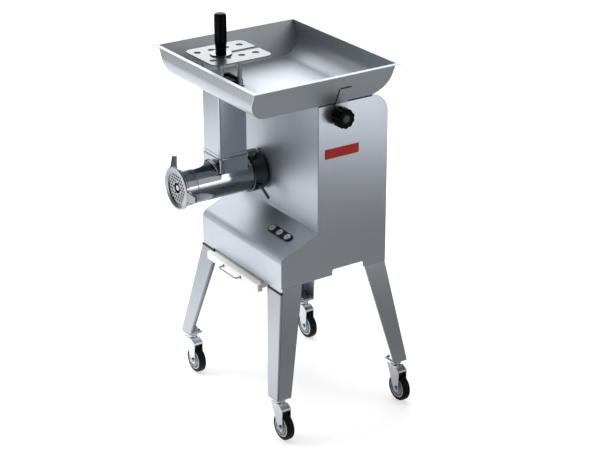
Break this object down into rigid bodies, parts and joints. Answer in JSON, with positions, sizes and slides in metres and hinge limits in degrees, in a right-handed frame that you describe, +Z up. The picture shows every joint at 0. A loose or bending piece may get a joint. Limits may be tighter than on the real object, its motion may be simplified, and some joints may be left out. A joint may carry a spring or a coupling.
{
  "type": "electric meat grinder",
  "caption": "Floor-standing electric meat grinder: brushed steel housing on splayed castor legs, wide feed tray with guarded pusher, horizontal head with ring nut, pull-out board.",
  "frame": {"origin": "on the floor, under the middle of the overall bounding box", "axes": "+Z up, -Y the way the outlet faces, +X to the right of someone facing the outlet"},
  "size_m": [0.568, 0.5554, 1.1455],
  "materials": {
    "housing_steel": "satin brushed stainless sheet",
    "leg_steel": "satin brushed stainless sheet",
    "zinc_steel": "bright zinc plate",
    "wheel_grey": "pale moulded hub",
    "tyre_rubber": "black rubber",
    "fastener_steel": "bright zinc plate",
    "tray_steel": "satin brushed stainless sheet",
    "duct_steel": "satin brushed stainless sheet",
    "bracket_steel": "satin brushed stainless sheet",
    "knob_black": "moulded black plastic with a metal centre",
    "guard_steel": "fine brushed stainless plate",
    "post_chrome": "polished stainless bar",
    "handle_black": "gloss black moulding",
    "foot_black": "black plastic",
    "head_polished": "polished stainless casting",
    "ring_polished": "polished stainless, satin front edge",
    "plate_steel": "ground tool steel",
    "auger_metal": "cast and tumbled",
    "hub_polished": "machined stainless",
    "lever_chrome": "polished stainless bar",
    "gear_steel": "oiled machined steel",
    "fan_plastic": "black plastic",
    "motor_paint": "grey paint on cast aluminium",
    "case_iron": "grey painted iron",
    "bezel_black": "black plastic",
    "button_grey": "pale grey caps",
    "board_white": "white food-grade plastic",
    "wire_steel": "stainless wire",
    "rail_steel": "folded stainless sheet",
    "plate_red": "dark red enamel, blank",
    "gland_black": "black nylon"
  },
  "bodies": {
    "frame": {"side_panel_left": "housing_steel", "side_panel_right": "housing_steel", "front_cover": "housing_steel", "rear_cover": "housing_steel", "cover_screws": "fastener_steel", "base_plate": "housing_steel", "leg_front_left": "leg_steel", "leg_front_right": "leg_steel", "leg_rear_left": "leg_steel", "leg_rear_right": "leg_steel", "castor_plates": "zinc_steel", "castor_bolts": "fastener_steel", "feed_tray": "tray_steel", "feed_duct": "duct_steel", "tray_bracket": "bracket_steel", "guard_plate": "guard_steel", "guard_posts": "post_chrome", "grinder_head": "head_polished", "hole_plate": "plate_steel", "clamp_hub": "hub_polished", "motor_housing": "motor_paint", "gearbox_case": "case_iron", "gearbox_cover": "case_iron", "bearings": "gear_steel", "drive_frame": "case_iron", "control_bezel": "bezel_black", "board_rails": "rail_steel", "name_plate": "plate_red", "cable_gland": "gland_black"},
    "auger_drive": {"output_shaft": "gear_steel", "output_gear": "gear_steel", "auger": "auger_metal", "knife": "plate_steel"},
    "layshaft": {"layshaft": "gear_steel"},
    "motor_rotor": {"motor_rotor": "gear_steel", "motor_fan": "fan_plastic"},
    "ring_nut": {"ring_nut": "ring_polished"},
    "clamp_lever_upper": {"clamp_lever_upper": "lever_chrome"},
    "clamp_lever_lower": {"clamp_lever_lower": "lever_chrome"},
    "tray_knob": {"tray_knob": "knob_black"},
    "pusher": {"pusher_rod": "post_chrome", "pusher_handle": "handle_black", "pusher_foot": "foot_black"},
    "board": {"pull_out_board": "board_white", "board_handle": "wire_steel"},
    "start_button": {"start_button": "button_grey"},
    "stop_button": {"stop_button": "button_grey"},
    "reverse_button": {"reverse_button": "button_grey"},
    "castor_fork_front_left": {"castor_fork_front_left": "zinc_steel"},
    "castor_wheel_front_left": {"castor_wheel_front_left": "wheel_grey", "castor_tyre_front_left": "tyre_rubber"},
    "castor_fork_front_right": {"castor_fork_front_right": "zinc_steel"},
    "castor_wheel_front_right": {"castor_wheel_front_right": "wheel_grey", "castor_tyre_front_right": "tyre_rubber"},
    "castor_fork_rear_left": {"castor_fork_rear_left": "zinc_steel"},
    "castor_wheel_rear_left": {"castor_wheel_rear_left": "wheel_grey", "castor_tyre_rear_left": "tyre_rubber"},
    "castor_fork_rear_right": {"castor_fork_rear_right": "zinc_steel"},
    "castor_wheel_rear_right": {"castor_wheel_rear_right": "wheel_grey", "castor_tyre_rear_right": "tyre_rubber"}
  },
  "joints": [
    {"name": "auger_spin", "type": "hinge", "parent": "frame", "child": "auger_drive", "pos_m": [-0.1035, -0.10025, 0.669], "axis": [0, 1, 0], "continuous": true},
    {"name": "layshaft_spin", "type": "hinge", "parent": "frame", "child": "layshaft", "pos_m": [-0.02469, 0.03975, 0.63716], "axis": [0, 1, 0], "continuous": true},
    {"name": "motor_spin", "type": "hinge", "parent": "frame", "child": "motor_rotor", "pos_m": [0.035, 0.09975, 0.5969], "axis": [0, 1, 0], "continuous": true},
    {"name": "ring_nut_turn", "type": "hinge", "parent": "frame", "child": "ring_nut", "pos_m": [-0.1035, -0.27775, 0.669], "axis": [0, -1, 0], "continuous": true},
    {"name": "clamp_lever_upper_turn", "type": "hinge", "parent": "frame", "child": "clamp_lever_upper", "pos_m": [-0.0735, -0.03225, 0.72096], "axis": [0.5, 0, 0.866], "continuous": true},
    {"name": "clamp_lever_lower_turn", "type": "hinge", "parent": "frame", "child": "clamp_lever_lower", "pos_m": [-0.05154, -0.03225, 0.639], "axis": [0.866, 0, -0.5], "continuous": true},
    {"name": "tray_knob_turn", "type": "hinge", "parent": "frame", "child": "tray_knob", "pos_m": [0.191, 0.06275, 0.903], "axis": [1, 0, 0], "continuous": true},
    {"name": "pusher_lift", "type": "slide", "parent": "frame", "child": "pusher", "axis": [0, 0, 1], "range_m": [0, 0.065]},
    {"name": "board_pull", "type": "slide", "parent": "frame", "child": "board", "axis": [0, -1, 0], "range_m": [0, 0.22]},
    {"name": "start_button_press", "type": "slide", "parent": "frame", "child": "start_button", "axis": [0, 0.3985, -0.9172], "range_m": [0, 0.0025], "stiffness_N_per_m": 300},
    {"name": "stop_button_press", "type": "slide", "parent": "frame", "child": "stop_button", "axis": [0, 0.3985, -0.9172], "range_m": [0, 0.0025], "stiffness_N_per_m": 300},
    {"name": "reverse_button_press", "type": "slide", "parent": "frame", "child": "reverse_button", "axis": [0, 0.3985, -0.9172], "range_m": [0, 0.0025], "stiffness_N_per_m": 300},
    {"name": "castor_swivel_front_left", "type": "hinge", "parent": "frame", "child": "castor_fork_front_left", "pos_m": [-0.259, -0.15025, 0.1085], "axis": [0, 0, 1], "continuous": true},
    {"name": "castor_roll_front_left", "type": "hinge", "parent": "castor_fork_front_left", "child": "castor_wheel_front_left", "pos_m": [-0.237, -0.15025, 0.04], "axis": [0, 1, 0], "continuous": true},
    {"name": "castor_swivel_front_right", "type": "hinge", "parent": "frame", "child": "castor_fork_front_right", "pos_m": [0.222, -0.15025, 0.1085], "axis": [0, 0, 1], "continuous": true},
    {"name": "castor_roll_front_right", "type": "hinge", "parent": "castor_fork_front_right", "child": "castor_wheel_front_right", "pos_m": [0.244, -0.15025, 0.04], "axis": [0, 1, 0], "continuous": true},
    {"name": "castor_swivel_rear_left", "type": "hinge", "parent": "frame", "child": "castor_fork_rear_left", "pos_m": [-0.259, 0.25275, 0.1085], "axis": [0, 0, 1], "continuous": true},
    {"name": "castor_roll_rear_left", "type": "hinge", "parent": "castor_fork_rear_left", "child": "castor_wheel_rear_left", "pos_m": [-0.237, 0.25275, 0.04], "axis": [0, 1, 0], "continuous": true},
    {"name": "castor_swivel_rear_right", "type": "hinge", "parent": "frame", "child": "castor_fork_rear_right", "pos_m": [0.222, 0.25275, 0.1085], "axis": [0, 0, 1], "continuous": true},
    {"name": "castor_roll_rear_right", "type": "hinge", "parent": "castor_fork_rear_right", "child": "castor_wheel_rear_right", "pos_m": [0.244, 0.25275, 0.04], "axis": [0, 1, 0], "continuous": true}
  ],
  "couplings": [
    {"joint": "layshaft_spin", "follows": "auger_spin", "ratio": -2.7778},
    {"joint": "motor_spin", "follows": "auger_spin", "ratio": 8.3333}
  ]
}
